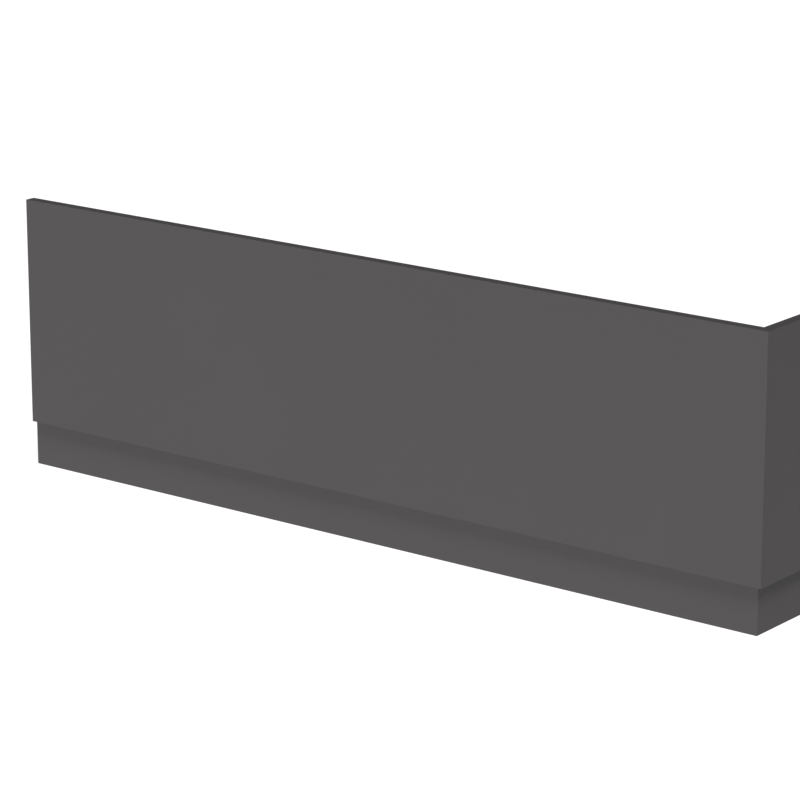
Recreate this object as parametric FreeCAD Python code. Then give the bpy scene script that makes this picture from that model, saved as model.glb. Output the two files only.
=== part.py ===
"""L-shaped bath panel in flat board: a front panel and an end panel that stand on set-back plinths.

The front panel runs through to the outer corner and the end panel butts against its back. Each plinth
is rebated along its top: the panel above stands on the shelf of the rebate, and the tongue that is left
laps up behind the panel, where it is fixed out of sight. The plinths butt at the corner in the same way.

Frame: +X along the front towards the outer corner, +Y from the front face to the wall, +Z up. The origin
is on the floor, in the middle of the rectangle that the two panels enclose. All sizes are in millimetres.
"""
import FreeCAD
import Part
import os

# Driving dimensions
FRONT_LENGTH = 1700.0   # along the bath, from the wall on the left to the outer corner
END_LENGTH = 700.0      # across the bath, from the front face to the wall behind
RIM_HEIGHT = 540.0      # from the floor to the top edges, which go under the rim of the bath
PLINTH_SHOWING = 90.0   # plinth that shows between the floor and the panels
BOARD = 22.0            # thickness of the stock that all four boards are cut from
SET_BACK = 12.0         # from the face of a panel to the face of its plinth
LAP = 40.0              # how far the tongue of a plinth rises behind its panel
ARRIS = 0.5             # radius that takes the sharpness off the edges left open

# Planes that the boards are set out from
LEFT_END = -FRONT_LENGTH / 2
OUTER_END = FRONT_LENGTH / 2
FRONT_FACE = -END_LENGTH / 2
WALL_END = END_LENGTH / 2
FRONT_BACK = FRONT_FACE + BOARD
FRONT_PLINTH_BACK = FRONT_FACE + SET_BACK + BOARD
END_BACK = OUTER_END - BOARD
END_PLINTH_FACE = OUTER_END - SET_BACK
END_PLINTH_BACK = END_PLINTH_FACE - BOARD
TONGUE_TOP = PLINTH_SHOWING + LAP


def prism(corners, run):
    """Solid that a flat outline sweeps when it is carried straight along a vector."""
    outline = Part.makePolygon(corners + corners[:1])
    return Part.Face(outline).extrude(run)


def eased(solid, joint_face, below):
    """The solid with its edges rounded to the arris radius, where they are lower than a height.

    The edges round the butt joint at the outer corner stay sharp, so that the joint closes without a groove.
    """
    def in_joint(edge):
        """True for an edge in the plane where a board of the end butts against one of the front."""
        middle = edge.CenterOfMass
        return abs(middle.y - joint_face) < ARRIS and middle.x > END_PLINTH_BACK - ARRIS

    edges = [edge for edge in solid.Edges if edge.CenterOfMass.z < below and not in_joint(edge)]
    return solid.makeFillet(ARRIS, edges)


def panel(x_low, x_high, y_low, y_high):
    """Upright board: its plan outline carried from the top of the plinth to the rim, and eased."""
    corners = [
        FreeCAD.Vector(x_low, y_low, PLINTH_SHOWING),
        FreeCAD.Vector(x_high, y_low, PLINTH_SHOWING),
        FreeCAD.Vector(x_high, y_high, PLINTH_SHOWING),
        FreeCAD.Vector(x_low, y_high, PLINTH_SHOWING),
    ]
    board = prism(corners, FreeCAD.Vector(0, 0, RIM_HEIGHT - PLINTH_SHOWING))
    return eased(board, FRONT_BACK, RIM_HEIGHT + ARRIS)


def rebated_section():
    """Outline of a plinth as pairs of depth behind the panel's face and height, round its rebate."""
    back = SET_BACK + BOARD
    return [
        (SET_BACK, 0.0),
        (back, 0.0),
        (back, TONGUE_TOP),
        (BOARD, TONGUE_TOP),
        (BOARD, PLINTH_SHOWING),
        (SET_BACK, PLINTH_SHOWING),
    ]


def eased_below_shelf(plinth):
    """The plinth with its edges eased, apart from the fresh-cut ones of the rebate and the tongue."""
    return eased(plinth, FRONT_PLINTH_BACK, PLINTH_SHOWING - ARRIS)


def front_plinth():
    """Rebated plinth under the front panel, its tongue cut short to let the end panel in at the corner."""
    corners = [FreeCAD.Vector(LEFT_END, FRONT_FACE + depth, z) for depth, z in rebated_section()]
    plinth = prism(corners, FreeCAD.Vector(END_PLINTH_FACE - LEFT_END, 0, 0))
    corner_notch = Part.makeBox(
        END_PLINTH_FACE - END_BACK,
        FRONT_PLINTH_BACK - FRONT_BACK,
        LAP,
        FreeCAD.Vector(END_BACK, FRONT_BACK, PLINTH_SHOWING),
    )
    return eased_below_shelf(plinth.cut(corner_notch))


def end_plinth():
    """Rebated plinth under the end panel, from the back of the front plinth to the wall."""
    corners = [FreeCAD.Vector(OUTER_END - depth, FRONT_PLINTH_BACK, z) for depth, z in rebated_section()]
    plinth = prism(corners, FreeCAD.Vector(0, WALL_END - FRONT_PLINTH_BACK, 0))
    return eased_below_shelf(plinth)


boards = {
    "front_panel": panel(LEFT_END, OUTER_END, FRONT_FACE, FRONT_BACK),
    "end_panel": panel(END_BACK, OUTER_END, FRONT_BACK, WALL_END),
    "front_plinth": front_plinth(),
    "end_plinth": end_plinth(),
}

os.makedirs("parts", exist_ok=True)
for node, solid in boards.items():
    if not solid.isValid() or len(solid.Solids) != 1:
        raise ValueError(node + " is not one valid solid")
    solid.exportStep("parts/" + node + ".step")
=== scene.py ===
"""Looks of the L-shaped bath panel: eased grey boards, the screws hidden behind them and a white studio.

Laid out as an add-on and run as a script. Every board is a closed section carried along its length, set out
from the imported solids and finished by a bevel. All sizes are in metres.
"""
import math

import bpy
import numpy as np
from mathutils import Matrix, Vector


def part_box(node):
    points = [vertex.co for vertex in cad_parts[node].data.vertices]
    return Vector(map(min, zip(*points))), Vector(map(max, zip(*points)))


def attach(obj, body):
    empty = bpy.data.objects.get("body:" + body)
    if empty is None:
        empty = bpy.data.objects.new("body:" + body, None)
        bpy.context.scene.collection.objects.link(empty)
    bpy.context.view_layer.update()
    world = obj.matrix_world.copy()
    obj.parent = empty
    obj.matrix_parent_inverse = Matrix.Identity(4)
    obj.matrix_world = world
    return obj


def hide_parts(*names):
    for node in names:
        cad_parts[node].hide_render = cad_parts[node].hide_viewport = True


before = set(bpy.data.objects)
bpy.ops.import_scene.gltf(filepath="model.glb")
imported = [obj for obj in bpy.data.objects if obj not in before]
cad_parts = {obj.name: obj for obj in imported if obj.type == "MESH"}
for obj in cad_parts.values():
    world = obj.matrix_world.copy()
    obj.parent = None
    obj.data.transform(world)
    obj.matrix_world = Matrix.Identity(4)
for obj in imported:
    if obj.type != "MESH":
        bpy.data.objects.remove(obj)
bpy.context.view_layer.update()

bl_info = {
    "name": "Bath panel",
    "version": (1, 0, 0),
    "blender": (4, 5, 0),
    "location": "3D View > Sidebar > Bath panel",
    "description": "Builds the boards, screws and studio of an L-shaped bath panel",
    "category": "Object",
}

BODY = "root"
SAME_POINT = 1e-7                # points closer than this are one point
CREASE = math.radians(30.0)      # an edge that turns by more than this is a crease
QUARTER_TURN = math.pi / 2
ARRIS_STEPS = 4                  # flats round an eased edge

# Planes of the solids that the pieces are set out from
FRONT_LOW, FRONT_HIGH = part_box("front_panel")
END_LOW, END_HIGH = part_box("end_panel")
FRONT_PLINTH_LOW, FRONT_PLINTH_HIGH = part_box("front_plinth")
END_PLINTH_LOW, END_PLINTH_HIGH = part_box("end_plinth")
FRONT_FACE = FRONT_LOW.y
OUTER_FACE = END_HIGH.x
BOARD = FRONT_HIGH.y - FRONT_LOW.y
SET_BACK = FRONT_PLINTH_LOW.y - FRONT_LOW.y
SHELF = FRONT_LOW.z
RIM = FRONT_HIGH.z
TONGUE_TOP = FRONT_PLINTH_HIGH.z

# Shape of a screw head, as shares of its radius or its rise
RECESS_HALF_LENGTH = 0.56        # of a bar of the cross recess, in the radius
RECESS_HALF_WIDTH = 0.17         # of a bar, in the radius
RECESS_FLOOR = 0.68              # where the floor of the recess ends, on the way to its outline
RECESS_DEPTH = 0.55              # in the rise
CROWN_FALL = 0.8                 # how much the crown has fallen at the rim, in the square of the rise
NO_REACH = 1e-6                  # least cosine or sine that a bar is divided by

# Finish of the facing and of the zinc plate
FACING_CLOUD = 0.22              # width of the clouds of tone and sheen
FACING_TONE = (0.98, 1.02)       # times the colour
FACING_SHEEN = 0.04              # how far the roughness swings either way
FACING_BUMP = 0.5
ZINC_RIPPLE = 0.0006
ZINC_RIPPLE_DEPTH = 0.00003
ZINC_CLOUD = 0.004
ZINC_TONE = (0.85, 1.05)
ZINC_ROUGHNESS = (0.42, 0.26)
ZINC_BUMP = 0.3

# Studio
FLOOR_HALF = 60.0                # half the width of the floor
FLOOR_DROP = 0.0002              # how far it lies below the plinths
FLOOR_WHITE = 0.85               # white of the floor as it lights the boards
FLOOR_SHOWN = 0.25               # part of the white that it shows, which the shadow falls on
HORIZON = 0.08                   # rise of a ray at which reflections no longer show the white
FAR = 200.0                      # how far the camera sees


# Sizes and colours that a user would change

class BoardSettings(bpy.types.PropertyGroup):
    """Edges and facing of the four boards."""

    arris: bpy.props.FloatProperty(
        name="Arris", description="Radius of the eased edges", default=0.0005,
        subtype="DISTANCE", unit="LENGTH", precision=5)
    colour: bpy.props.FloatVectorProperty(
        name="Colour", description="Grey of the facing", default=(0.0888, 0.0838, 0.0842), size=3,
        min=0.0, max=1.0, subtype="COLOR")
    roughness: bpy.props.FloatProperty(
        name="Roughness", description="How matt the facing is", default=0.55, min=0.0, max=1.0,
        subtype="FACTOR")
    gloss: bpy.props.FloatProperty(
        name="Gloss", description="Strength of the facing's reflections", default=0.10, min=0.0, max=1.0,
        subtype="FACTOR")
    peel_size: bpy.props.FloatProperty(
        name="Peel size", description="Width of the fine ripples in the facing", default=0.001,
        subtype="DISTANCE", unit="LENGTH")
    peel_depth: bpy.props.FloatProperty(
        name="Peel depth", description="Height of the fine ripples in the facing", default=0.0002,
        subtype="DISTANCE", unit="LENGTH", precision=6)


class ScrewSettings(bpy.types.PropertyGroup):
    """Screws that hold the plinths' tongues to the backs of the panels."""

    head: bpy.props.FloatProperty(
        name="Head", description="Diameter of a screw head", default=0.008,
        subtype="DISTANCE", unit="LENGTH", precision=4)
    rise: bpy.props.FloatProperty(
        name="Rise", description="Height of a screw head", default=0.0026,
        subtype="DISTANCE", unit="LENGTH", precision=5)
    inset: bpy.props.FloatProperty(
        name="Inset", description="From the end of a plinth to its first screw", default=0.06,
        subtype="DISTANCE", unit="LENGTH")
    front_count: bpy.props.IntProperty(
        name="Front screws", description="Screws along the front plinth", default=6, min=2)
    end_count: bpy.props.IntProperty(
        name="End screws", description="Screws along the end plinth", default=3, min=2)
    colour: bpy.props.FloatVectorProperty(
        name="Colour", description="Zinc plate of the screws", default=(0.62, 0.63, 0.64), size=3,
        min=0.0, max=1.0, subtype="COLOR")


class StageSettings(bpy.types.PropertyGroup):
    """Camera, lamps and floor of the studio."""

    camera_right: bpy.props.FloatProperty(
        name="Camera right", description="Of the outer corner, along the front", default=2.8617,
        subtype="DISTANCE", unit="LENGTH")
    camera_forward: bpy.props.FloatProperty(
        name="Camera forward", description="Of the outer corner, out from the front", default=4.6628,
        subtype="DISTANCE", unit="LENGTH")
    camera_height: bpy.props.FloatProperty(
        name="Camera height", description="Above the floor", default=1.9251,
        subtype="DISTANCE", unit="LENGTH")
    camera_turn: bpy.props.FloatProperty(
        name="Camera turn", description="To the right of square before the front",
        default=math.radians(37.94), subtype="ANGLE", unit="ROTATION")
    camera_dip: bpy.props.FloatProperty(
        name="Camera dip", description="Tilt below the horizon", default=math.radians(15.45),
        subtype="ANGLE", unit="ROTATION")
    lens: bpy.props.FloatProperty(
        name="Lens", description="Focal length in millimetres", default=152.4, min=1.0)
    ambient: bpy.props.FloatProperty(
        name="Ambient", description="Level of the even light from all round", default=0.02, min=0.0)
    key: bpy.props.FloatProperty(
        name="Key", description="Strength of the high lamp before the corner", default=2.21, min=0.0)
    face: bpy.props.FloatProperty(
        name="Face", description="Strength of the low lamp before the front", default=1.86, min=0.0)
    back: bpy.props.FloatProperty(
        name="Back", description="Strength of the low lamp behind the boards", default=2.9, min=0.0)
    floor_glow: bpy.props.FloatProperty(
        name="Floor glow", description="White that the floor shows by itself", default=0.93,
        min=0.0, max=1.0, subtype="FACTOR")


# Surfaces

def carried_section(section, stations):
    """Depth, height and place of a closed section carried along a board, as grids.

    Each station is a row: a place along the board and a limit. The row is the section at that place, with
    each height the lesser of itself and the limit.
    """
    depth, height = np.transpose(section)[:, None, :]
    place, limit = np.transpose(stations)[:, :, None]
    return np.broadcast_arrays(depth, np.minimum(height, limit), place)


def along_front(depth, height, place):
    """Points of a board of the front in the frame: its depth is +Y and its run is +X."""
    return np.stack([place, FRONT_FACE + depth, height], axis=-1)


def along_end(depth, height, place):
    """Points of a board of the end in the frame: its depth is -X and its run is +Y."""
    return np.stack([OUTER_FACE - depth, place, height], axis=-1)


def grid_faces(rows, columns):
    """Corner numbers of the faces of a grid that closes on itself across its columns."""
    row = np.arange(rows - 1)[:, None] * columns
    column = np.arange(columns)[None, :]
    after = (column + 1) % columns
    corners = [row + column, row + after, row + columns + after, row + columns + column]
    return np.stack(corners, axis=-1).reshape(-1, 4)


def merged(points, quads, caps=()):
    """Points without repeats, and the faces between them.

    A quad with two neighbouring corners in one point becomes a triangle, and one with less left is dropped.
    """
    keys = np.round(points / SAME_POINT).astype(np.int64)
    _, first, number = np.unique(keys, axis=0, return_index=True, return_inverse=True)
    number = number.ravel()
    quads = number[quads]
    shared = quads == np.roll(quads, -1, axis=1)
    folded = (quads[:, 0] == quads[:, 2]) | (quads[:, 1] == quads[:, 3])
    repeats = np.where(folded, quads.shape[1], shared.sum(axis=1))
    faces = quads[repeats == 0].tolist()
    faces += quads[repeats == 1][~shared[repeats == 1]].reshape(-1, 3).tolist()
    for cap in caps:
        ring = number[cap]
        faces.append(ring[ring != np.roll(ring, 1)].tolist())
    return points[first], faces


def make_piece(name, points, faces, material):
    """Object at the origin with the given surface and material, on the one body, with its creases sharp."""
    mesh = bpy.data.meshes.new(name)
    mesh.from_pydata(points.tolist(), [], faces)
    if mesh.validate():
        raise ValueError(name + " has faces that do not hold")
    mesh.shade_smooth()
    mesh.set_sharp_from_angle(angle=CREASE)
    mesh.materials.append(material)
    piece = bpy.data.objects.new(name, mesh)
    bpy.context.scene.collection.objects.link(piece)
    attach(piece, BODY)
    return piece


def ease_edges(piece, joint_face, below):
    """Rounds the creases of a board by a bevel, where its solid is rounded.

    Creases from a height up stay sharp, and so do those round the butt joint at the outer corner.
    """
    arris = bpy.context.scene.bath_panel_boards.arris
    mesh = piece.data
    ends = np.empty(2 * len(mesh.edges), np.int32)
    places = np.empty(3 * len(mesh.vertices), np.float32)
    creased = np.empty(len(mesh.edges), bool)
    mesh.edges.foreach_get("vertices", ends)
    mesh.vertices.foreach_get("co", places)
    mesh.edges.foreach_get("use_edge_sharp", creased)
    x, y, z = places.reshape(-1, 3)[ends.reshape(-1, 2)].mean(axis=1).T
    in_joint = (np.abs(y - joint_face) < arris) & (x > END_PLINTH_LOW.x - arris)
    eased = creased & (z < below) & ~in_joint
    mesh.edges.foreach_set("use_edge_sharp", creased & ~eased)
    weight = mesh.attributes.new("bevel_weight_edge", "FLOAT", "EDGE")
    weight.data.foreach_set("value", eased.astype(np.float32))
    bevel = piece.modifiers.new("arris", "BEVEL")
    bevel.limit_method = "WEIGHT"
    bevel.width = arris
    bevel.segments = ARRIS_STEPS
    bevel.harden_normals = True


def make_board(node, section, stations, placing, joint_face, below):
    """Board from its section and stations, put in the frame, eased and standing for its solid."""
    grid = placing(*carried_section(section, stations))
    rows, columns = grid.shape[:2]
    ring = np.arange(columns)
    caps = [ring[::-1], ring + (rows - 1) * columns]
    points, faces = merged(grid.reshape(-1, 3), grid_faces(rows, columns), caps)
    piece = make_piece(node + "_board", points, faces, board_finish())
    ease_edges(piece, joint_face, below)
    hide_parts(node)


def screw_head(radius, rise):
    """Pan head as a polar grid of across, up and out, with a cross recess sunk in its crown.

    The outline of the recess is a plus: at each angle it reaches as far as the longer of two bars at right
    angles, and a bar reaches to the lesser of half its length over the cosine and half its width over the
    sine. The way out along a spoke goes from 0 in the middle to 1 on that outline and 2 at the rim. The
    crown's height is rise * (1 - fall * q**4) ** 0.5 at the share q of the radius, less the recess, which
    slopes down from its outline to an even floor. The last two rings go straight down to the seat and back
    to its middle.
    """
    tip = math.atan2(RECESS_HALF_WIDTH, RECESS_HALF_LENGTH)
    tip_spokes = 3
    side_spokes = 10
    crown_rings = 12
    spans = [
        (0.0, tip, tip_spokes),
        (tip, QUARTER_TURN - tip, side_spokes),
        (QUARTER_TURN - tip, QUARTER_TURN, tip_spokes),
    ]
    quarter = np.concatenate([np.linspace(*span, endpoint=False) for span in spans])
    angle = -(np.arange(4)[:, None] * QUARTER_TURN + quarter).reshape(1, -1)

    def reach(lengthways, across):
        """How far a bar of the plus reaches, as a share of the radius."""
        return np.minimum(RECESS_HALF_LENGTH / np.maximum(np.abs(lengthways), NO_REACH),
                          RECESS_HALF_WIDTH / np.maximum(np.abs(across), NO_REACH))

    outline = np.maximum(reach(np.cos(angle), np.sin(angle)), reach(np.sin(angle), np.cos(angle)))
    recess = [0.0, RECESS_FLOOR / 2, RECESS_FLOOR]
    crown = 1.0 + np.sin(np.linspace(0.0, QUARTER_TURN, crown_rings))
    seat = [2.0, 0.0]
    way = np.concatenate([recess, crown, seat])[:, None]
    share = np.minimum(way, 1.0) * outline + np.maximum(way - 1.0, 0.0) * (1.0 - outline)
    sunk = np.clip((1.0 - way) / (1.0 - RECESS_FLOOR), 0.0, 1.0)
    height = rise * np.sqrt(1.0 - CROWN_FALL * share**4) - RECESS_DEPTH * rise * sunk
    height[-len(seat):] = 0.0
    return np.stack([radius * share * np.cos(angle), radius * share * np.sin(angle), height], axis=-1)


def screw_places(low, high, inset, count):
    """Even places along a plinth from one inset to the other, each to be added to the grid of a head."""
    return np.linspace(low + inset, high - inset, count)[:, None, None]


# Materials

def feed(tree, socket, value):
    """Links a socket to an output, or sets it to a constant."""
    if isinstance(value, bpy.types.NodeSocket):
        tree.links.new(value, socket)
    else:
        socket.default_value = value


def add_node(tree, kind, inputs=None, **settings):
    """Node of a kind, with its settings, and its inputs fed by name or number."""
    made = tree.nodes.new(kind)
    for name, value in settings.items():
        setattr(made, name, value)
    for socket, value in (inputs or {}).items():
        feed(tree, made.inputs[socket], value)
    return made


def worked(tree, operation, first, second):
    """Output of a Math node on two values."""
    return add_node(tree, "ShaderNodeMath", {0: first, 1: second}, operation=operation).outputs[0]


def spread(tree, value, low, high, start=0.0, stop=1.0):
    """Output of a Map Range node that takes start to stop onto low to high."""
    ends = {"Value": value, "From Min": start, "From Max": stop, "To Min": low, "To Max": high}
    return add_node(tree, "ShaderNodeMapRange", ends).outputs["Result"]


def scaled(tree, colour, factor):
    """Colour times a value."""
    made = add_node(tree, "ShaderNodeVectorMath", {0: colour, "Scale": factor}, operation="SCALE")
    return made.outputs[0]


def new_group(name, inputs, outputs):
    """Empty shader node group with named sockets, and its two end nodes."""
    group = bpy.data.node_groups.new(name, "ShaderNodeTree")
    for label, kind in inputs.items():
        group.interface.new_socket(label, in_out="INPUT", socket_type=kind)
    for label, kind in outputs.items():
        group.interface.new_socket(label, in_out="OUTPUT", socket_type=kind)
    return group, group.nodes.new("NodeGroupInput").outputs, group.nodes.new("NodeGroupOutput").inputs


def fine_ripple_group():
    """Fine ripple of a sprayed or plated finish: its height, and a cloud that shifts tone and sheen.

    The group is built when it is first asked for.
    """
    known = bpy.data.node_groups.get("fine_ripple")
    if known:
        return known
    group, given, result = new_group(
        "fine_ripple",
        {"Size": "NodeSocketFloat", "Cloud size": "NodeSocketFloat"},
        {"Height": "NodeSocketFloat", "Cloud": "NodeSocketFloat"},
    )
    place = add_node(group, "ShaderNodeTexCoord").outputs["Object"]
    ripples = worked(group, "DIVIDE", 1.0, given["Size"])
    clouds = worked(group, "DIVIDE", 1.0, given["Cloud size"])
    ripple = add_node(group, "ShaderNodeTexNoise",
                      {"Vector": place, "Scale": ripples, "Detail": 2.0, "Roughness": 0.45})
    cloud = add_node(group, "ShaderNodeTexNoise",
                     {"Vector": place, "Scale": clouds, "Detail": 3.0, "Roughness": 0.55})
    feed(group, result["Height"], ripple.outputs[0])
    feed(group, result["Cloud"], cloud.outputs[0])
    return group


def new_material(name):
    """New material, its node tree and the inputs of its Principled shader."""
    material = bpy.data.materials.new(name)
    material.use_nodes = True
    return material, material.node_tree, material.node_tree.nodes["Principled BSDF"].inputs


def rippled(tree, shader, colour, size, depth, bump, cloud_size, tone, roughness):
    """Feeds a shader from the fine ripple: its bump, and clouds of tone and roughness from low to high."""
    sizes = {"Size": size, "Cloud size": cloud_size}
    ripple = add_node(tree, "ShaderNodeGroup", sizes, node_tree=fine_ripple_group()).outputs
    heights = {"Strength": bump, "Distance": depth, "Height": ripple["Height"]}
    relief = add_node(tree, "ShaderNodeBump", heights)
    feed(tree, shader["Base Color"], scaled(tree, colour, spread(tree, ripple["Cloud"], *tone)))
    feed(tree, shader["Roughness"], spread(tree, ripple["Cloud"], *roughness))
    feed(tree, shader["Normal"], relief.outputs["Normal"])


def board_finish():
    """Matt grey facing of the boards: a fine ripple, and faint clouds of tone and sheen."""
    known = bpy.data.materials.get("matt_grey_facing")
    if known:
        return known
    look = bpy.context.scene.bath_panel_boards
    material, tree, shader = new_material("matt_grey_facing")
    roughness = (look.roughness + FACING_SHEEN, look.roughness - FACING_SHEEN)
    rippled(tree, shader, tuple(look.colour), look.peel_size, look.peel_depth, FACING_BUMP,
            FACING_CLOUD, FACING_TONE, roughness)
    shader["Specular IOR Level"].default_value = look.gloss
    return material


def screw_finish():
    """Bright zinc plate, dulled in faint clouds."""
    look = bpy.context.scene.bath_panel_screws
    material, tree, shader = new_material("zinc_plate")
    rippled(tree, shader, tuple(look.colour), ZINC_RIPPLE, ZINC_RIPPLE_DEPTH, ZINC_BUMP,
            ZINC_CLOUD, ZINC_TONE, ZINC_ROUGHNESS)
    shader["Metallic"].default_value = 1.0
    return material


def floor_finish(glow):
    """White floor: a glow for the rays that show it, over a diffuse white that takes the object's shadow."""
    material = bpy.data.materials.new("studio_white")
    material.use_nodes = True
    tree = material.node_tree
    tree.nodes.remove(tree.nodes["Principled BSDF"])
    path = add_node(tree, "ShaderNodeLightPath").outputs
    shown = worked(tree, "MAXIMUM", path["Is Camera Ray"], path["Is Transmission Ray"])
    shown = worked(tree, "MAXIMUM", shown, path["Is Glossy Ray"])
    white = add_node(tree, "ShaderNodeBsdfDiffuse", {"Color": spread(tree, shown, FLOOR_WHITE, FLOOR_SHOWN)})
    shine = add_node(tree, "ShaderNodeEmission", {"Strength": worked(tree, "MULTIPLY", shown, glow)})
    both = add_node(tree, "ShaderNodeAddShader", {0: white.outputs[0], 1: shine.outputs[0]})
    feed(tree, tree.nodes["Material Output"].inputs["Surface"], both.outputs[0])
    return material


# Operators

class BATH_PANEL_OT_panels(bpy.types.Operator):
    """Make the front and end panels: eased rectangles of board carried along the bath and across it"""

    bl_idname = "bath_panel.panels"
    bl_label = "Make panels"

    def execute(self, context):
        section = [(0.0, SHELF), (BOARD, SHELF), (BOARD, RIM), (0.0, RIM)]
        front = [(FRONT_LOW.x, RIM), (FRONT_HIGH.x, RIM)]
        end = [(END_LOW.y, RIM), (END_HIGH.y, RIM)]
        above_all = RIM + BOARD
        make_board("front_panel", section, front, along_front, FRONT_HIGH.y, above_all)
        make_board("end_panel", section, end, along_end, FRONT_HIGH.y, above_all)
        return {"FINISHED"}


class BATH_PANEL_OT_plinths(bpy.types.Operator):
    """Make the plinths: rebated sections carried along under the panels"""

    bl_idname = "bath_panel.plinths"
    bl_label = "Make plinths"

    def execute(self, context):
        back = SET_BACK + BOARD
        section = [
            (SET_BACK, 0.0),
            (back, 0.0),
            (back, SHELF),
            (back, TONGUE_TOP),
            (BOARD, TONGUE_TOP),
            (BOARD, SHELF),
            (SET_BACK, SHELF),
        ]
        notch = END_LOW.x
        front = [
            (FRONT_PLINTH_LOW.x, TONGUE_TOP),
            (notch, TONGUE_TOP),
            (notch, SHELF),
            (FRONT_PLINTH_HIGH.x, SHELF),
        ]
        end = [(END_PLINTH_LOW.y, TONGUE_TOP), (END_PLINTH_HIGH.y, TONGUE_TOP)]
        below_shelf = SHELF - context.scene.bath_panel_boards.arris
        make_board("front_plinth", section, front, along_front, FRONT_PLINTH_HIGH.y, below_shelf)
        make_board("end_plinth", section, end, along_end, FRONT_PLINTH_HIGH.y, below_shelf)
        return {"FINISHED"}


class BATH_PANEL_OT_screws(bpy.types.Operator):
    """Make the screws that hold each plinth's tongue to the back of its panel"""

    bl_idname = "bath_panel.screws"
    bl_label = "Make screws"

    def execute(self, context):
        look = context.scene.bath_panel_screws
        across, up, out = np.moveaxis(screw_head(look.head / 2, look.rise), -1, 0)
        height = (SHELF + TONGUE_TOP) / 2
        x = screw_places(FRONT_PLINTH_LOW.x, END_PLINTH_LOW.x, look.inset, look.front_count)
        y = screw_places(END_PLINTH_LOW.y, END_PLINTH_HIGH.y, look.inset, look.end_count)
        front = np.stack(np.broadcast_arrays(x - across, FRONT_PLINTH_HIGH.y + out, height + up), axis=-1)
        end = np.stack(np.broadcast_arrays(END_PLINTH_LOW.x - out, y - across, height + up), axis=-1)
        heads = np.concatenate([front, end])
        count, rows, columns = heads.shape[:3]
        starts = (np.arange(count) * rows * columns)[:, None, None]
        quads = (grid_faces(rows, columns)[None] + starts).reshape(-1, 4)
        points, faces = merged(heads.reshape(-1, 3), quads)
        make_piece("plinth_screws", points, faces, screw_finish())
        return {"FINISHED"}


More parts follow.
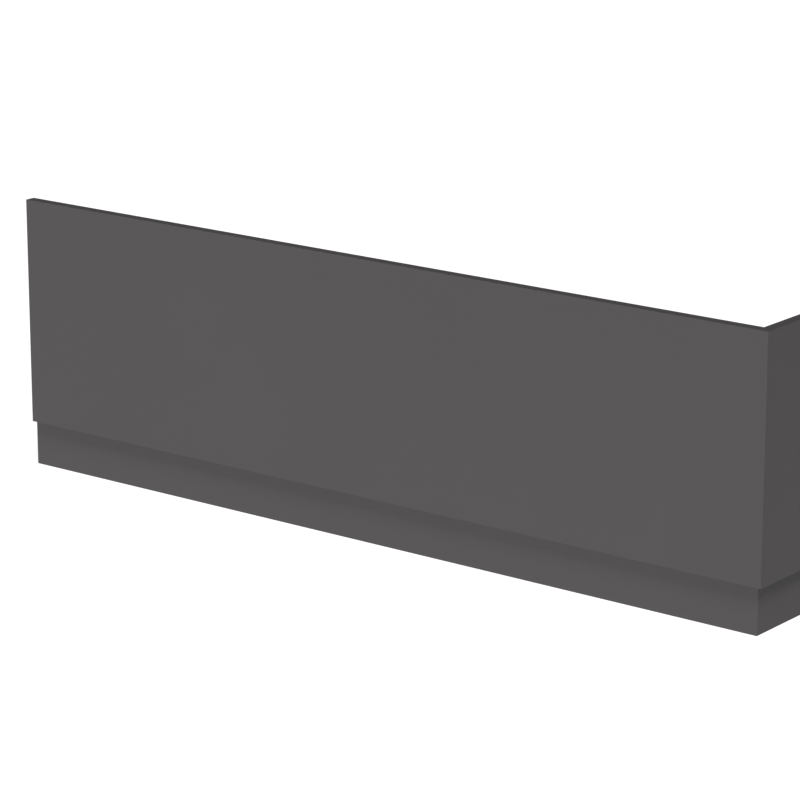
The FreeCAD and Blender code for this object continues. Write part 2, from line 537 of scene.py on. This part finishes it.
class BATH_PANEL_OT_stage(bpy.types.Operator):
    """Make the white floor, the even light, the lamps and the camera"""

    bl_idname = "bath_panel.stage"
    bl_label = "Make stage"

    def execute(self, context):
        scene = context.scene
        look = scene.bath_panel_stage
        scene.view_settings.view_transform = "Standard"
        self.make_floor(scene, look)
        self.make_world(scene, look)
        self.make_lamp(scene, "key_lamp", look.key, turn=52.5, height=64.2, width=22.0)
        self.make_lamp(scene, "face_lamp", look.face, turn=15.3, height=1.0, width=1.5)
        self.make_lamp(scene, "back_lamp", look.back, turn=218.0, height=1.0, width=1.5, mirrored=False)
        self.make_camera(scene, look)
        return {"FINISHED"}

    def make_floor(self, scene, look):
        """Plain floor, a hair below the plinths."""
        square = [(-1, -1), (1, -1), (1, 1), (-1, 1)]
        corners = [(x * FLOOR_HALF, y * FLOOR_HALF, -FLOOR_DROP) for x, y in square]
        mesh = bpy.data.meshes.new("studio_floor")
        mesh.from_pydata(corners, [], [(0, 1, 2, 3)])
        mesh.materials.append(floor_finish(look.floor_glow))
        floor = bpy.data.objects.new("studio_floor", mesh)
        scene.collection.objects.link(floor)

    def make_world(self, scene, look):
        """Even dim light that shows as white, and to reflections as white near the horizon only."""
        world = bpy.data.worlds.new("studio_light")
        world.use_nodes = True
        tree = world.node_tree
        path = add_node(tree, "ShaderNodeLightPath").outputs
        direction = add_node(tree, "ShaderNodeTexCoord").outputs["Generated"]
        rise = add_node(tree, "ShaderNodeSeparateXYZ", {0: direction}).outputs["Z"]
        horizon = spread(tree, rise, 1.0, 0.0, start=0.0, stop=HORIZON)
        shown = worked(tree, "MAXIMUM", path["Is Camera Ray"], path["Is Transmission Ray"])
        shown = worked(tree, "MAXIMUM", shown, worked(tree, "MULTIPLY", path["Is Glossy Ray"], horizon))
        background = tree.nodes["Background"].inputs
        background["Color"].default_value = (1.0, 1.0, 1.0, 1.0)
        feed(tree, background["Strength"], spread(tree, shown, look.ambient, 1.0))
        scene.world = world

    def make_lamp(self, scene, name, strength, turn, height, width, mirrored=True):
        """Far soft lamp. Its turn to the right of the front, its height and its width are in degrees."""
        lamp = bpy.data.lights.new(name, "SUN")
        lamp.energy = strength
        lamp.angle = math.radians(width)
        holder = bpy.data.objects.new(name, lamp)
        holder.rotation_euler = (QUARTER_TURN - math.radians(height), 0.0, math.radians(turn))
        holder.visible_glossy = mirrored
        scene.collection.objects.link(holder)

    def make_camera(self, scene, look):
        """Camera of the photograph's view."""
        lens = bpy.data.cameras.new("photo_camera")
        lens.lens = look.lens
        lens.clip_end = FAR
        camera = bpy.data.objects.new("photo_camera", lens)
        x = OUTER_FACE + look.camera_right
        y = FRONT_FACE - look.camera_forward
        camera.location = (x, y, look.camera_height)
        camera.rotation_euler = (QUARTER_TURN - look.camera_dip, 0.0, look.camera_turn)
        scene.collection.objects.link(camera)
        scene.camera = camera


class BATH_PANEL_PT_sidebar(bpy.types.Panel):
    """Sidebar list of the pieces and what can be changed on them"""

    bl_idname = "BATH_PANEL_PT_sidebar"
    bl_label = "Bath panel"
    bl_space_type = "VIEW_3D"
    bl_region_type = "UI"
    bl_category = "Bath panel"

    def draw(self, context):
        for operator in OPERATORS:
            self.layout.operator(operator.bl_idname)
        for holder, kind in SETTINGS.items():
            box = self.layout.box()
            for name in kind.__annotations__:
                box.prop(getattr(context.scene, holder), name)


SETTINGS = {
    "bath_panel_boards": BoardSettings,
    "bath_panel_screws": ScrewSettings,
    "bath_panel_stage": StageSettings,
}
OPERATORS = (BATH_PANEL_OT_panels, BATH_PANEL_OT_plinths, BATH_PANEL_OT_screws, BATH_PANEL_OT_stage)
CLASSES = (*SETTINGS.values(), *OPERATORS, BATH_PANEL_PT_sidebar)


def register():
    """Registers the classes and hangs the settings on the scene."""
    for kind in CLASSES:
        bpy.utils.register_class(kind)
    for holder, kind in SETTINGS.items():
        setattr(bpy.types.Scene, holder, bpy.props.PointerProperty(type=kind))


def unregister():
    """Takes the settings and the classes away again."""
    for holder in SETTINGS:
        delattr(bpy.types.Scene, holder)
    for kind in reversed(CLASSES):
        bpy.utils.unregister_class(kind)


def main():
    """Makes every piece and the stage."""
    register()
    bpy.ops.bath_panel.panels()
    bpy.ops.bath_panel.plinths()
    bpy.ops.bath_panel.screws()
    bpy.ops.bath_panel.stage()


if __name__ == "__main__":
    main()
